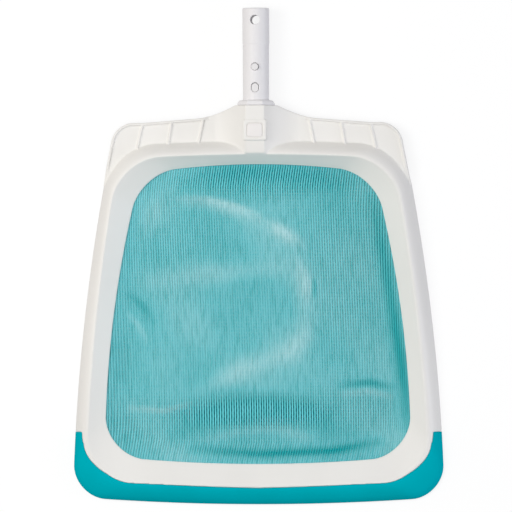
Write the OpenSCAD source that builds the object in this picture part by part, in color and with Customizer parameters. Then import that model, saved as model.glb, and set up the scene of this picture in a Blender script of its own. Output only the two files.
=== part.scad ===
// Leaf skimmer head: moulded hoop with a net, soft mouth lip and pole spigot.
// Millimetres. It lies on its back: +X right, +Y towards the pole, +Z up.

/* [Hoop outline] */
// Half width of the hoop's outer edge at the heel
heel_half_w = 157; // [152:0.5:160]
// Half width of the hoop's outer edge at the mouth
mouth_half_w = 199.3; // [195:0.5:203]
// Heel end of the hoop's outer edge at its corners
heel_y = 117; // [114:0.5:119]
// Mouth end of the hoop's outer edge at its corners
mouth_y = -257; // [-260:0.5:-254]
// Outward bow of the hoop's sides
side_bow = 8.5; // [6:0.5:10]
// Outward bow of the mouth edge
mouth_bow = 8; // [5:0.5:9]
// Corner radius of the outer edge at the heel
heel_corner_r = 50; // [44:1:54]
// Corner radius of the outer edge at the mouth
mouth_corner_r = 30; // [27:1:34]

/* [Hoop section] */
// Height of the hoop's crest at the heel
heel_crest_z = 29; // [26:0.5:30]
// Height of the hoop's crest at the mouth
mouth_crest_z = 17; // [16:0.5:19]
// Height of the upright rim below the outer slope
rim_h = 3; // [2:0.5:4]
// Wall thickness of the frame moulding
wall = 2.6; // [2.2:0.1:3]
// Width of the flange that clamps the net's edge
flange_w = 5.5; // [5:0.1:5.8]
// Thickness of the hoop's inner edge
edge_t = 2.2; // [1.8:0.1:3]

/* [Net] */
// Height of the retaining ring
ring_h = 6; // [5:0.5:6.5]
// Thickness of the net sheet
net_t = 0.6; // [0.5:0.1:0.8]
// Width of the strands of the net
strand_w = 2.4; // [1.6:0.2:3]
// Columns of openings in the net
net_cols = 16; // [10:1:16]
// Rows of openings in the net
net_rows = 17; // [10:1:17]

/* [Lip] */
// Thickness of the soft lip over the frame
lip_t = 2.6; // [2.2:0.1:2.8]
// Height of the horns' cut ends along Y
horn_y = -187.5; // [-192:0.5:-185]

/* [Wings and neck] */
// Half width of the wings' top edge at the corners
wing_half_w = 151.6; // [150:0.2:153]
// Top edge of the wings
wing_y = 143; // [141:0.5:144]
// Corner radius of the wings
wing_corner_r = 22; // [18:1:25]
// Height of the wings' rim and ribs
wing_z = 16; // [15:0.5:17]
// Depth of the pockets between the ribs
pocket_depth = 2.5; // [1.5:0.1:3]
// Half width of the neck's flat facet
facet_half_w = 10; // [9:0.5:11]
// Reach of the neck's hollow flank beside the facet
flank_w = 39; // [36:1:41]
// Height of the neck's ridge at the collar
ridge_z = 37.5; // [37:0.1:38]
// Half width of the neck's end at the collar
neck_half_w = 22.5; // [21:0.5:23.5]

/* [Tube] */
// Outer diameter of the nose that seats in the pole
nose_d = 28.6; // [28.4:0.1:28.8]
// Outer diameter of the tube below the nose
tube_d = 28; // [27.8:0.1:28.1]
// Inner diameter of the tube
tube_id = 23; // [22.6:0.1:23.4]
// Free end of the tube along Y
tube_end_y = 265; // [260:1:270]
// Length of the wider nose
nose_len = 38; // [36:0.5:40]
// Diameter of the cross hole
cross_d = 10; // [9:0.5:11]
// Distance of the cross hole from the free end
cross_in = 12.7; // [11:0.1:13]
// Height of the tube's axis
axis_z = 19; // [18.9:0.1:19.2]
// Height of the eight-sided collar across its flats
collar_af = 37; // [35:0.5:37.4]
// Width of the eight-sided collar where it meets the neck
collar_w = 40; // [38:0.5:41]
// Collar face towards the pole along Y
collar_y = 166.5; // [165:0.5:168]
// Thickness of the collar
collar_t = 5.3; // [4.5:0.1:5.5]

/* [Clip] */
// Width of the clip's legs
leg_w = 9; // [8:0.5:10]
// Thickness of the clip's legs
leg_t = 1.6; // [1.4:0.1:1.8]
// Diameter of the round lock button
lock_d = 7.2; // [6.8:0.1:7.4]
// Lock button's centre along Y
lock_y = 202.4; // [200:0.5:204]
// Height of the lock button above the tube
lock_proud = 2.8; // [2.2:0.1:2.8]
// Width of the oval lug that holds the clip in the tube
lug_w = 7.2; // [6.8:0.1:7.4]
// Length of the oval lug
lug_len = 9.3; // [8.8:0.1:9.5]
// Oval lug's centre along Y
lug_y = 180.2; // [179:0.5:182]
// Gap between a button and its hole, all round
button_gap = 0.6; // [0.6:0.05:0.8]

/* [Hidden] */

white = [0.94, 0.94, 0.92];
pale_grey = [0.82, 0.82, 0.84];
teal = [0.02, 0.6, 0.65];
net_teal = [0.35, 0.68, 0.72];

seat_gap = 0.3;
eps = 0.01;
round_fn = 48;

// stations round each ring: mouth, corner, side, heel
n_mouth = 6;
n_corner = 8;
n_side = 9;
n_heel = 6;

// crest set in from the outer edge, and net line set in from the crest
crest_in_heel = 12.1;
crest_in_mouth = 13.9;
crest_heel_in = 13;
crest_mouth_in = 18;
crest_bow = 7;
crest_heel_bow = 5;
crest_mouth_bow = 6;
crest_heel_r = 50;
crest_mouth_r = 44;
net_in_heel = 23.2;
net_in_mouth = 16.8;
net_heel_in = 15.5;
net_mouth_in = 26.3;
net_side_bow = 10;
net_heel_bow = 10;
net_mouth_bow = 9;
net_heel_r = 45;
net_mouth_r = 42;
heel_bow = 5;
wing_bow = 9.75;

side_slope = (mouth_half_w - heel_half_w) / (heel_y - mouth_y);
function outer_half_w(y) = heel_half_w + side_slope * (heel_y - y);

crest_top_y = heel_y - crest_heel_in;
crest_low_y = mouth_y + crest_mouth_in;
crest_half_top = outer_half_w(crest_top_y) - crest_in_heel;
crest_half_low = outer_half_w(crest_low_y) - crest_in_mouth;
crest_slope = (crest_half_low - crest_half_top) / (crest_top_y - crest_low_y);
function crest_half_w(y) = crest_half_top + crest_slope * (crest_top_y - y);

net_top_y = crest_top_y - net_heel_in;
net_low_y = crest_low_y + net_mouth_in;
net_half_top = crest_half_w(net_top_y) - net_in_heel;
net_half_low = crest_half_w(net_low_y) - net_in_mouth;

// [half width top, half width low, y top, y low, r top, r low, side, top and low bow]
outer_dims = [heel_half_w, mouth_half_w, heel_y, mouth_y, heel_corner_r,
              mouth_corner_r, side_bow, heel_bow, mouth_bow];
crest_dims = [crest_half_top, crest_half_low, crest_top_y, crest_low_y, crest_heel_r,
              crest_mouth_r, crest_bow, crest_heel_bow, crest_mouth_bow];
net_dims = [net_half_top, net_half_low, net_top_y, net_low_y, net_heel_r,
            net_mouth_r, net_side_bow, net_heel_bow, net_mouth_bow];
wing_dims = [wing_half_w, mouth_half_w, wing_y, mouth_y, wing_corner_r,
             mouth_corner_r, wing_bow, 0, mouth_bow];

// straight-sided half width at y
function plain_half_w(d, y) = d[0] + (d[1] - d[0]) * (d[2] - y) / (d[2] - d[3]);

// bows a point of the straight-sided outline outwards
function bowed(d, p) =
    let (m = (d[2] + d[3]) / 2)
    let (t = (p[1] - m) / ((d[2] - d[3]) / 2))
    let (s = p[0] / plain_half_w(d, p[1]))
    [p[0] + s * d[6] * (1 - t * t), p[1] + t * (t > 0 ? d[7] : d[8]) * (1 - s * s)];

// right half of a ring, from the mouth's middle round to the heel's middle
function half_ring(d) =
    let (phi = atan((d[1] - d[0]) / (d[2] - d[3])))
    let (xt = plain_half_w(d, d[2] - d[4]) - d[4] / cos(phi))
    let (xb = plain_half_w(d, d[3] + d[5]) - d[5] / cos(phi))
    let (low = [xb + d[5] * cos(phi), d[3] + d[5] + d[5] * sin(phi)])
    let (top = [xt + d[4] * cos(phi), d[2] - d[4] + d[4] * sin(phi)])
    concat(
        [for (k = [0 : n_mouth - 1]) [xb * k / n_mouth, d[3]]],
        [for (k = [0 : n_corner]) let (a = -90 + (90 + phi) * k / n_corner)
            [xb + d[5] * cos(a), d[3] + d[5] + d[5] * sin(a)]],
        [for (k = [1 : n_side - 1]) low + (top - low) * k / n_side],
        [for (k = [0 : n_corner]) let (a = phi + (90 - phi) * k / n_corner)
            [xt + d[4] * cos(a), d[2] - d[4] + d[4] * sin(a)]],
        [for (k = [1 : n_heel]) [xt * (1 - k / n_heel), d[2]]]);

function bowed_half(d) = [for (p = half_ring(d)) bowed(d, p)];
function mirrored(h) = [for (k = [len(h) - 2 : -1 : 1]) [-h[k][0], h[k][1]]];
function ring(d) = let (h = bowed_half(d)) concat(h, mirrored(h));

outer_ring = ring(outer_dims);
crest_ring = ring(crest_dims);
net_ring_line = ring(net_dims);
wing_ring = ring(wing_dims);
stations = len(outer_ring);

// a point set out from a by the distance g towards b
function towards(a, b, g) = a + (b - a) * g / norm(b - a);
function mix(a, b, s) = a + (b - a) * s;
function clamped(v) = min(1, max(0, v));

edge_low_z = ring_h + seat_gap + net_t + seat_gap;
edge_top_z = edge_low_z + edge_t;
crest_rise = (heel_crest_z - mouth_crest_z) / (crest_top_y - crest_low_y);
function crest_z(y) = mouth_crest_z + crest_rise * (y - crest_low_y);

// outer slope and inner band, as [share of the width, share of the height]
slope_shape = [[0.12, 0.27], [0.3, 0.53], [0.62, 0.85], [0.85, 0.975], [1, 1]];
band_shape = [[0.04, 0.02], [1, 1]];
band_mid = 0.42;
slope_mid = 0.66;

function share(t, s, k = 0) =
    k >= len(t) - 1 || s <= t[k][0]
        ? let (p = k == 0 ? [0, 0] : t[k - 1])
          p[1] + (t[k][1] - p[1]) * (s - p[0]) / (t[k][0] - p[0])
        : share(t, s, k + 1);
function slope_z(zc, s) = rim_h + (zc - rim_h) * share(slope_shape, s);
function band_z(zc, s) = zc - (zc - edge_top_z) * share(band_shape, s);

// share of the lip's rebate at y: none on the sides, whole at the mouth
seat_start_y = horn_y + 38;
seat_ramp = 60;
seat_foot_w = 7.2;
function lip_share(y) = clamped((seat_start_y - y) / seat_ramp);
lip_drop = lip_t + seat_gap;
function foot_w(y) = wall + seat_foot_w * lip_share(y);

function at_z(p, z) = [p[0], p[1], z];
function frame_section(i) =
    let (a = outer_ring[i], b = crest_ring[i], c = net_ring_line[i])
    let (zc = crest_z(b[1]), foot = foot_w(a[1]), ab = norm(b - a))
    let (drop = 1.3 * wall + lip_drop * lip_share(a[1]))
    concat(
        [at_z(a, 0), at_z(a, rim_h)],
        [for (q = slope_shape) at_z(mix(a, b, q[0]), slope_z(zc, q[0]))],
        [for (q = band_shape) at_z(mix(b, c, q[0]), band_z(zc, q[0]))],
        [at_z(c, edge_low_z), at_z(towards(c, b, flange_w), edge_low_z)],
        [at_z(mix(b, c, band_mid), band_z(zc, band_mid) - 1.25 * wall)],
        [at_z(b, zc - wall)],
        [at_z(mix(a, b, slope_mid), slope_z(zc, slope_mid) - drop)],
        [at_z(towards(a, b, foot), slope_z(zc, foot / ab) - drop - wall)],
        [at_z(towards(a, b, foot), 0)]);

// closed loft through sections, joined end to end when looped
module loft(sections, looped = true) {
    m = len(sections[0]);
    n = len(sections);
    pts = [for (s = sections) for (p = s) p];
    last = looped ? n - 1 : n - 2;
    sides = [for (i = [0 : last]) for (j = [0 : m - 1])
        let (i2 = (i + 1) % n, j2 = (j + 1) % m)
        for (f = [[i * m + j, i2 * m + j, i2 * m + j2], [i * m + j, i2 * m + j2, i * m + j2]]) f];
    ends = looped ? [] : [[for (j = [0 : m - 1]) j], [for (j = [m - 1 : -1 : 0]) (n - 1) * m + j]];
    polyhedron(pts, concat(sides, ends), convexity = 10);
}

module hoop() loft([for (i = [stations - 1 : -1 : 0]) frame_section(i)]);

// cross ribs in the channel behind the hoop
rib_stations = [2, 9, 15, 18, 21, 25, 31];
rib_t = 2;
rib_low_z = 1;
rib_lap = 0.5;
function rib_points(i, shift) =
    let (a = outer_ring[i], b = crest_ring[i], c = net_ring_line[i])
    let (zc = crest_z(b[1]), y = a[1], s = slope_mid, t = band_mid)
    let (u = (b - a) / norm(b - a), n = [-u[1], u[0]] * shift)
    let (drop = wall + lip_drop * lip_share(y))
    let (ia = towards(a, b, foot_w(y) - 1), ic = towards(c, b, flange_w + seat_gap))
    [at_z(ia + n, rib_low_z), at_z(ic + n, rib_low_z),
     at_z(ic + n, edge_low_z + rib_lap), at_z(mix(b, c, t) + n, band_z(zc, t) - wall),
     at_z(b + n, zc - wall + rib_lap), at_z(mix(a, b, s) + n, slope_z(zc, s) - drop),
     at_z(ia + n, rim_h)];
module channel_rib(i) {
    near = rib_points(i, -rib_t / 2);
    far = rib_points(i, rib_t / 2);
    hull() loft([near, far], false);
}
module channel_ribs() {
    for (i = rib_stations) {
        channel_rib(i);
        mirror([1, 0, 0]) channel_rib(i);
    }
}

// plan outline of the wings with the flare that runs up to the collar
flare_x = 120;
flare_low = [flare_x, wing_y];
flare_mid = [62, wing_y + 4.6];
flare_bend = [46.7, wing_y + 5.8];
neck_end_y = collar_y - collar_t;
flare_end = [neck_half_w, neck_end_y];
function curve(p, q, r, t) = p * (1 - t) * (1 - t) + q * 2 * t * (1 - t) + r * t * t;
flare_half = concat([flare_low], [for (k = [0 : 6]) curve(flare_mid, flare_bend, flare_end, k / 6)]);
flare_lap = 3;
flare_foot = [flare_x + 10, wing_y - flare_lap];
flare = concat([flare_foot], flare_half,
               [for (k = [len(flare_half) - 1 : -1 : 0]) [-flare_half[k][0], flare_half[k][1]]],
               [[-flare_foot[0], flare_foot[1]]]);
wing_low_y = 72;
wing_root = 0.27;
// the wings' rim tapers down to the hoop over this length
wing_tail = 28;
tail_z = 8;
far = 300;
tall = 60;
module outline_2d() {
    polygon(wing_ring);
    polygon(flare);
}
module behind_hoop_2d() {
    polygon([for (i = [0 : stations - 1]) mix(outer_ring[i], crest_ring[i], wing_root)]);
    translate([-far, -far]) square([2 * far, far + wing_low_y]);
}
module above_tail() {
    rotate([90, 0, 90]) linear_extrude(2 * far, center = true)
        polygon([[wing_low_y - wing_tail, 2 * tail_z - wing_z], [wing_low_y + 2 * wing_tail, 2 * wing_z - tail_z],
                 [wing_low_y - wing_tail, 2 * wing_z - tail_z]]);
}

plate_t = 2.5;
plate_z = wing_z - pocket_depth - plate_t;
rim_low_z = 6;
rim_w = 2.6;
rib_w = 2.4;
// wing ribs as [[x, y] at the top edge, [x, y] at the hoop]
wing_ribs = [[[57, 145], [62, 121]], [[91, 143.3], [95, 119]], [[122, 141.6], [128, 116]]];
rib_root = 3;
module wings() {
    difference() {
        union() {
            translate([0, 0, plate_z]) linear_extrude(plate_t) outline_2d();
            translate([0, 0, rim_low_z]) linear_extrude(wing_z - rim_low_z) difference() {
                outline_2d();
                offset(delta = -rim_w) outline_2d();
            }
        }
        translate([0, 0, -far / 2]) linear_extrude(far) behind_hoop_2d();
        above_tail();
    }
    for (side = [-1, 1]) for (r = wing_ribs) wing_rib(side, r);
}
module wing_rib(side, r) {
    hull() for (p = r)
        translate([side * p[0], p[1], plate_z - rib_root])
            cylinder(d = rib_w, h = wing_z - plate_z + rib_root, $fn = 12);
}

// neck: ridge heights along Y, then the flank's fall across X
ridge_line = [[107.5, -13], [110.3, -6.2], [113, -5.4], [120, -3.6], [129, -1.6], [141, -0.6], [163, 0]];
flank_shares = [0, 0.06, 0.14, 0.25, 0.4, 0.6, 0.8, 1];
flank_power = 2.1;
neck_low_z = 1.5;
flank_low_z = wing_z - pocket_depth - 0.2;
hollow_y = [112, 142];
hollow_lap = 3;
function flank_z(zt, zw, t) = zw + (zt - zw) * pow(1 - t, flank_power);
function neck_half(zt, zw, cut) =
    [for (t = flank_shares) [facet_half_w + flank_w * t - cut * 0.3, flank_z(zt, zw, t) - cut]];
function neck_section(y, zt, cut) =
    let (h = neck_half(zt, flank_low_z, cut), reach = facet_half_w + flank_w)
    let (low = cut > 0 ? -1 : neck_low_z)
    let (r = concat(h, [[reach - cut, plate_z - cut], [20 - cut, 5], [16 - cut, low]]))
    [for (p = concat(r, [for (k = [len(r) - 1 : -1 : 0]) [-r[k][0], r[k][1]]])) [p[0], y, p[1]]];
module neck_body(cut, y_from, y_to) {
    rows = [for (q = ridge_line) if (q[0] >= y_from && q[0] <= y_to) q];
    loft([for (q = rows) neck_section(q[0], ridge_z + q[1], cut)], false);
}
boss_w = 25;
boss_len = 21.6;
boss_r = 1.6;
boss_y = 134.6;
boss_top_z = 37.6;
socket_wall = 3;
socket_end_y = 128;
socket_r = tube_d / 2 + seat_gap;
neck_ribs_y = [124, 143];
neck_rib_t = 2.4;
boss_low_z = 30;
module rounded_block(w, l, r, h) {
    hull() for (x = [-1, 1]) for (y = [-1, 1])
        translate([x * (w / 2 - r), y * (l / 2 - r), 0]) cylinder(r = r, h = h, $fn = 24);
}
module along_y(d, y_from, y_to, fn = round_fn) {
    translate([0, y_to, axis_z]) rotate([90, 0, 0]) cylinder(d = d, h = y_to - y_from, $fn = fn);
}
// hollow under the neck, open at the back
module neck_hollow() {
    intersection() {
        union() {
            neck_body(wall, hollow_y[0], hollow_y[1]);
            translate([0, hollow_lap, 0]) neck_body(wall, hollow_y[0], hollow_y[1]);
        }
        translate([0, 0, -axis_z]) linear_extrude(tall) offset(delta = -wall) outline_2d();
    }
}
module neck_skin() {
    intersection() {
        neck_body(0, 0, far);
        linear_extrude(tall) outline_2d();
    }
}
module neck_inside() {
    intersection() {
        neck_body(0, 0, far);
        union() {
            for (y = neck_ribs_y) translate([-tall, y, 0]) cube([2 * tall, neck_rib_t, tall]);
            along_y(2 * (socket_r + socket_wall), socket_end_y - socket_wall, neck_end_y);
        }
    }
    translate([0, boss_y, boss_low_z]) rounded_block(boss_w, boss_len, boss_r, boss_top_z - boss_low_z);
}

// soft lip: [share of the outer slope it covers] grows from horn to mouth
horn_share = 0.44;
mouth_share = 0.85;
blade_share = 0.4;
blade_low_z = 0.4;
cover_ramp = 45;
function covered(y) = mix(horn_share, mouth_share, clamped((horn_y - y) / cover_ramp));
lip_steps = [1, 0.66, 0.33, 0];
// the rebate's cutter stands over and outside the lip by these
cutter_lift = 4;
cutter_out = 2;
// grow is the clearance of the rebate that holds the lip
function lip_section(a, b, grow) =
    let (zc = crest_z(b[1]), c = covered(a[1]), ab = norm(b - a))
    let (u = (b - a) / ab, lift = grow > 0 ? cutter_lift : 0, out = grow > 0 ? cutter_out : 0)
    let (foot = blade_share * c, g = grow / ab)
    concat(
        [for (k = lip_steps) at_z(mix(a, b, k * (c + g)) - u * (k == 0 ? out : 0),
                                  slope_z(zc, k * (c + g)) + lift)],
        [at_z(a - u * out, grow > 0 ? -1 : blade_low_z)],
        [at_z(mix(a, b, foot + g), grow > 0 ? -1 : blade_low_z)],
        [for (s = [foot + g, mix(foot, c, 0.5), c + g])
            at_z(mix(a, b, s), slope_z(zc, s) - lip_t - grow - (s == foot + g ? 1 : 0))]);
// point on a bowed side at y
function side_point(d, y) =
    let (t = (2 * y - d[2] - d[3]) / (d[2] - d[3])) [plain_half_w(d, y) + d[6] * (1 - t * t), y];
corner_end = n_mouth + n_corner;
horn_steps = 3;
function lip_half(grow) =
    let (ya = outer_ring[corner_end][1], yb = crest_ring[corner_end][1], y = horn_y + grow)
    concat([for (i = [0 : corner_end]) lip_section(outer_ring[i], crest_ring[i], grow)],
           [for (k = [1 : horn_steps])
               lip_section(side_point(outer_dims, mix(ya, y, k / horn_steps)),
                           side_point(crest_dims, mix(yb, y, k / horn_steps)), grow)]);
function flipped(s) = [for (p = s) [-p[0], p[1], p[2]]];
module lip_loft(grow) {
    h = lip_half(grow);
    loft(concat([for (k = [len(h) - 1 : -1 : 1]) flipped(h[k])], h), false);
}

badge_w = 16;
badge_len = 14.5;
badge_r = 2.6;
badge_t = 1.6;

module frame_shell() {
    color(white) difference() {
        union() {
            difference() {
                union() {
                    hoop();
                    channel_ribs();
                    wings();
                    neck_skin();
                }
                neck_hollow();
            }
            neck_inside();
        }
        lip_loft(seat_gap);
        along_y(2 * socket_r, socket_end_y - seat_gap, neck_end_y + 5);
        translate([0, boss_y, boss_top_z - badge_t])
            rounded_block(badge_w + 2 * seat_gap, badge_len + 2 * seat_gap, badge_r, 5);
    }
}

module badge_panel() {
    color(white) translate([0, boss_y, boss_top_z - badge_t + seat_gap]) {
        linear_extrude(badge_t) offset(r = badge_r)
            square([badge_w - 2 * badge_r, badge_len - 2 * badge_r], center = true);
    }
}

ring_inner = 0.4;
ring_outer = flange_w - seat_gap;
function net_offset(g) = [for (i = [0 : stations - 1]) towards(net_ring_line[i], crest_ring[i], g)];
module net_ring() {
    color(white) linear_extrude(ring_h) difference() {
        polygon(net_offset(ring_outer));
        polygon(net_offset(ring_inner));
    }
}

hem_out = 4.6;
hem_in = 1.2;
net_r_cut = 1;
function net_point(f, g) =
    let (y = mix(net_low_y, net_top_y, g))
    bowed(net_dims, [f * plain_half_w(net_dims, y), y]);
// true where an opening's middle lies well inside the rounded outline
function well_inside(f, g) =
    let (y = mix(net_low_y, net_top_y, g), x = abs(f) * plain_half_w(net_dims, y))
    let (r = g > 0.5 ? net_heel_r : net_mouth_r)
    let (cy = g > 0.5 ? net_top_y - r : net_low_y + r)
    let (cx = plain_half_w(net_dims, cy) - r)
    x < cx || abs(y - (net_top_y + net_low_y) / 2) < abs(cy - (net_top_y + net_low_y) / 2)
        || norm([x - cx, y - cy]) < r - net_r_cut;
module net_openings() {
    sf = strand_w / (net_half_top + net_half_low) / 1;
    sg = strand_w / (net_top_y - net_low_y) / 2;
    for (i = [0 : net_cols - 1]) for (j = [0 : net_rows - 1]) {
        f0 = -1 + 2 * i / net_cols + sf;
        f1 = -1 + 2 * (i + 1) / net_cols - sf;
        g0 = j / net_rows + sg;
        g1 = (j + 1) / net_rows - sg;
        if (well_inside((f0 + f1) / 2, (g0 + g1) / 2))
            polygon([net_point(f0, g0), net_point(f1, g0), net_point(f1, g1), net_point(f0, g1)]);
    }
}
module net_mesh() {
    color(net_teal) translate([0, 0, ring_h + seat_gap]) linear_extrude(net_t) difference() {
        polygon(net_offset(hem_out));
        intersection() {
            net_openings();
            polygon(net_offset(-hem_in));
        }
    }
}

module scraper_lip() {
    color(teal) lip_loft(0);
}

bulkhead_y = 151;
bulkhead_t = 3;
// collar as [distance from the neck, half width, half height], facet as a share of both
collar_shape = [[seat_gap, collar_w / 2, collar_af / 2], [collar_t - 1, collar_w / 2 - 2, collar_af / 2 - 1],
                [collar_t, collar_w / 2 - 3.5, collar_af / 2 - 2]];
facet_share = 0.43;
module collar() {
    loft([for (k = [len(collar_shape) - 1 : -1 : 0]) let (c = collar_shape[k]) let (x = c[1], z = c[2], f = facet_share)
        [for (p = [[x, z * f], [x * f, z], [-x * f, z], [-x, z * f],
                   [-x, -z * f], [-x * f, -z], [x * f, -z], [x, -z * f]])
            [p[0], neck_end_y + c[0], axis_z + p[1]]]], false);
}
function hole_w(w) = w + 2 * button_gap;
module button_hole(w, l, y) {
    translate([0, y, axis_z]) {
        for (dy = [-1, 1]) translate([0, dy * (l - w) / 2, 0])
            cylinder(d = hole_w(w), h = tall, center = true, $fn = round_fn);
        if (l > w) cube([hole_w(w), l - w, tall], center = true);
    }
}
module handle_tube() {
    color(pale_grey) difference() {
        union() {
            along_y(tube_d, socket_end_y, tube_end_y - nose_len);
            along_y(nose_d, tube_end_y - nose_len, tube_end_y);
            collar();
        }
        along_y(tube_id, bulkhead_y, tube_end_y + 1);
        along_y(tube_id, socket_end_y - 1, bulkhead_y - bulkhead_t);
        translate([0, tube_end_y - cross_in, axis_z])
            cylinder(d = cross_d, h = tall, center = true, $fn = round_fn);
        button_hole(lock_d, lock_d, lock_y);
        button_hole(lug_w, lug_len, lug_y);
    }
}

// spring clip: bend on the bulkhead, legs splayed outwards from the pivots
pivot_off = 4;
pivot_y = bulkhead_y + pivot_off + seat_gap;
splay = 7.5;
leg_gap = 0.3;
leg_end_y = 207;
// buttons sit back in their holes, which their arc needs
button_back = 0.3;
lug_sunk = 0.2;
module clip_bend() {
    color(pale_grey) translate([-leg_w / 2, 0, 0]) rotate([90, 0, 90]) linear_extrude(leg_w)
        difference() {
            translate([pivot_y, axis_z]) circle(r = pivot_off, $fn = round_fn);
            translate([pivot_y, axis_z]) circle(r = pivot_off - leg_t, $fn = round_fn);
            translate([pivot_y - leg_gap, 0]) square([2 * pivot_off, 2 * axis_z]);
        }
}
function leg_rise(y) = (y - pivot_y) * tan(splay);
module button_post(w, l, y, top) {
    base = pivot_off - leg_t / 2 + leg_rise(y);
    for (dy = [-1, 1]) translate([0, y - button_back + dy * (l - w) / 2, base])
        cylinder(d = w, h = top - base, $fn = round_fn);
    if (l > w) translate([-w / 2, y - button_back - (l - w) / 2, base]) cube([w, l - w, top - base]);
}
// leg and buttons about the tube's axis, pointing up
module clip_leg() {
    translate([-leg_w / 2, 0, 0]) rotate([90, 0, 90]) linear_extrude(leg_w) polygon([
        [pivot_y, pivot_off - leg_t], [lock_y, pivot_off - leg_t + leg_rise(lock_y)],
        [leg_end_y, pivot_off - leg_t + leg_rise(lock_y)],
        [leg_end_y, pivot_off + leg_rise(lock_y)], [lock_y, pivot_off + leg_rise(lock_y)],
        [pivot_y, pivot_off]]);
    button_post(lock_d, lock_d, lock_y, tube_d / 2 + lock_proud);
    button_post(lug_w, lug_len, lug_y, tube_d / 2 - lug_sunk);
}
module clip_front_leg() {
    color(pale_grey) translate([0, 0, axis_z]) clip_leg();
}
module clip_rear_leg() {
    color(pale_grey) translate([0, 0, axis_z]) mirror([0, 0, 1]) clip_leg();
}

frame_shell();
net_ring();
net_mesh();
scraper_lip();
badge_panel();
handle_tube();
clip_bend();
clip_front_leg();
clip_rear_leg();
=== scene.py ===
import math
from collections import namedtuple

import bpy
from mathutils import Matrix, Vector

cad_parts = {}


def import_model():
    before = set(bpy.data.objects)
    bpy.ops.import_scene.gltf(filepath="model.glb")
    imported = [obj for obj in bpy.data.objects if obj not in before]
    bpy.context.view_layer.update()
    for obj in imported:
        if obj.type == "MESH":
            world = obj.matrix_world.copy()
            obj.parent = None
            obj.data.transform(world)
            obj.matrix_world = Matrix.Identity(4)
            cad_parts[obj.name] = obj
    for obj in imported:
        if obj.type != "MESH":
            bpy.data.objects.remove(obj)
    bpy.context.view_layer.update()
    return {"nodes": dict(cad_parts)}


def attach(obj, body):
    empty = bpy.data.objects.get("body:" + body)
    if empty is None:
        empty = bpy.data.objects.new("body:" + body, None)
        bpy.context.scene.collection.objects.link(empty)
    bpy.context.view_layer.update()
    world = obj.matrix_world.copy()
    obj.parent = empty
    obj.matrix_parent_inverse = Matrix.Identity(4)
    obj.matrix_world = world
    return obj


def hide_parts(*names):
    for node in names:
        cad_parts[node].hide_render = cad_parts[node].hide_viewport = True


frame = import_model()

# The leaf skimmer lies on its back: +X right, +Y towards the pole, +Z up.
# Lengths are in millimetres until a mesh is made, which is in metres.
MM = 0.001

# ---------------------------------------------------------------- meshes


def made_mesh(name, points, faces, smooth=True):
    """A new object from points in millimetres."""
    mesh = bpy.data.meshes.new(name)
    mesh.from_pydata([Vector(p) * MM for p in points], [], faces)
    mesh.validate()
    mesh.update()
    obj = bpy.data.objects.new(name, mesh)
    bpy.context.scene.collection.objects.link(obj)
    if smooth:
        mesh.polygons.foreach_set("use_smooth", [True] * len(mesh.polygons))
    return obj


def loft(name, sections, looped=False):
    """A closed skin through sections of equal length, with flat ends unless looped."""
    rows, cols = len(sections), len(sections[0])
    points = [p for section in sections for p in section]
    faces = []
    for i in range(rows if looped else rows - 1):
        near, far = i * cols, (i + 1) % rows * cols
        for j in range(cols):
            k = (j + 1) % cols
            faces.append((near + j, near + k, far + k, far + j))
    if not looped:
        faces.append(tuple(range(cols - 1, -1, -1)))
        faces.append(tuple((rows - 1) * cols + j for j in range(cols)))
    return outward(made_mesh(name, points, faces))


def outward(obj):
    """Turns the mesh's faces outwards, as the boolean solver needs."""
    mesh = obj.data
    volume = 0.0
    for face in mesh.polygons:
        a = mesh.vertices[face.vertices[0]].co
        for k in range(1, len(face.vertices) - 1):
            b = mesh.vertices[face.vertices[k]].co
            c = mesh.vertices[face.vertices[k + 1]].co
            volume += a.dot(b.cross(c))
    if volume < 0:
        mesh.flip_normals()
    return obj


def prism(name, outline, low, high):
    """An upright prism over a plan outline."""
    return loft(name, [[(x, y, low) for x, y in outline], [(x, y, high) for x, y in outline]])


def box_mm(name, low, high):
    """A block between two corners."""
    plan = [(low[0], low[1]), (high[0], low[1]), (high[0], high[1]), (low[0], high[1])]
    return prism(name, plan, low[2], high[2])


def rod_y(name, radius_at, axis_z, sides=96):
    """A turned solid along Y from [(y, radius)] stations."""
    rings = []
    for y, radius in radius_at:
        rings.append([(radius * math.sin(math.tau * k / sides), y,
                       axis_z + radius * math.cos(math.tau * k / sides)) for k in range(sides)])
    return loft(name, rings)


def rod_z(name, x, y, radius, low, high, sides=48):
    """An upright round rod."""
    turn = [math.tau * k / sides for k in range(sides)]
    return prism(name, [(x + radius * math.cos(a), y + radius * math.sin(a)) for a in turn], low, high)


def applied(obj):
    """Bakes the object's modifiers into its mesh."""
    graph = bpy.context.evaluated_depsgraph_get()
    mesh = bpy.data.meshes.new_from_object(obj.evaluated_get(graph))
    old = obj.data
    obj.modifiers.clear()
    obj.data = mesh
    bpy.data.meshes.remove(old)
    return obj


def combined(obj, other, operation):
    """Joins, cuts or clips obj with other, which is used up."""
    step = obj.modifiers.new("step", "BOOLEAN")
    step.operation = operation
    step.solver = "MANIFOLD"
    step.object = other
    applied(obj)
    bpy.data.objects.remove(other)
    return obj


def joined(obj, *others):
    """Adds the others to obj."""
    for other in others:
        combined(obj, other, "UNION")
    return obj


def cut(obj, *others):
    """Takes the others out of obj."""
    for other in others:
        combined(obj, other, "DIFFERENCE")
    return obj


def clipped(obj, other):
    """Keeps what obj and other share."""
    return combined(obj, other, "INTERSECT")


SOFTENING = 0.5
SOFTENING_PASSES = 2


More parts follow.
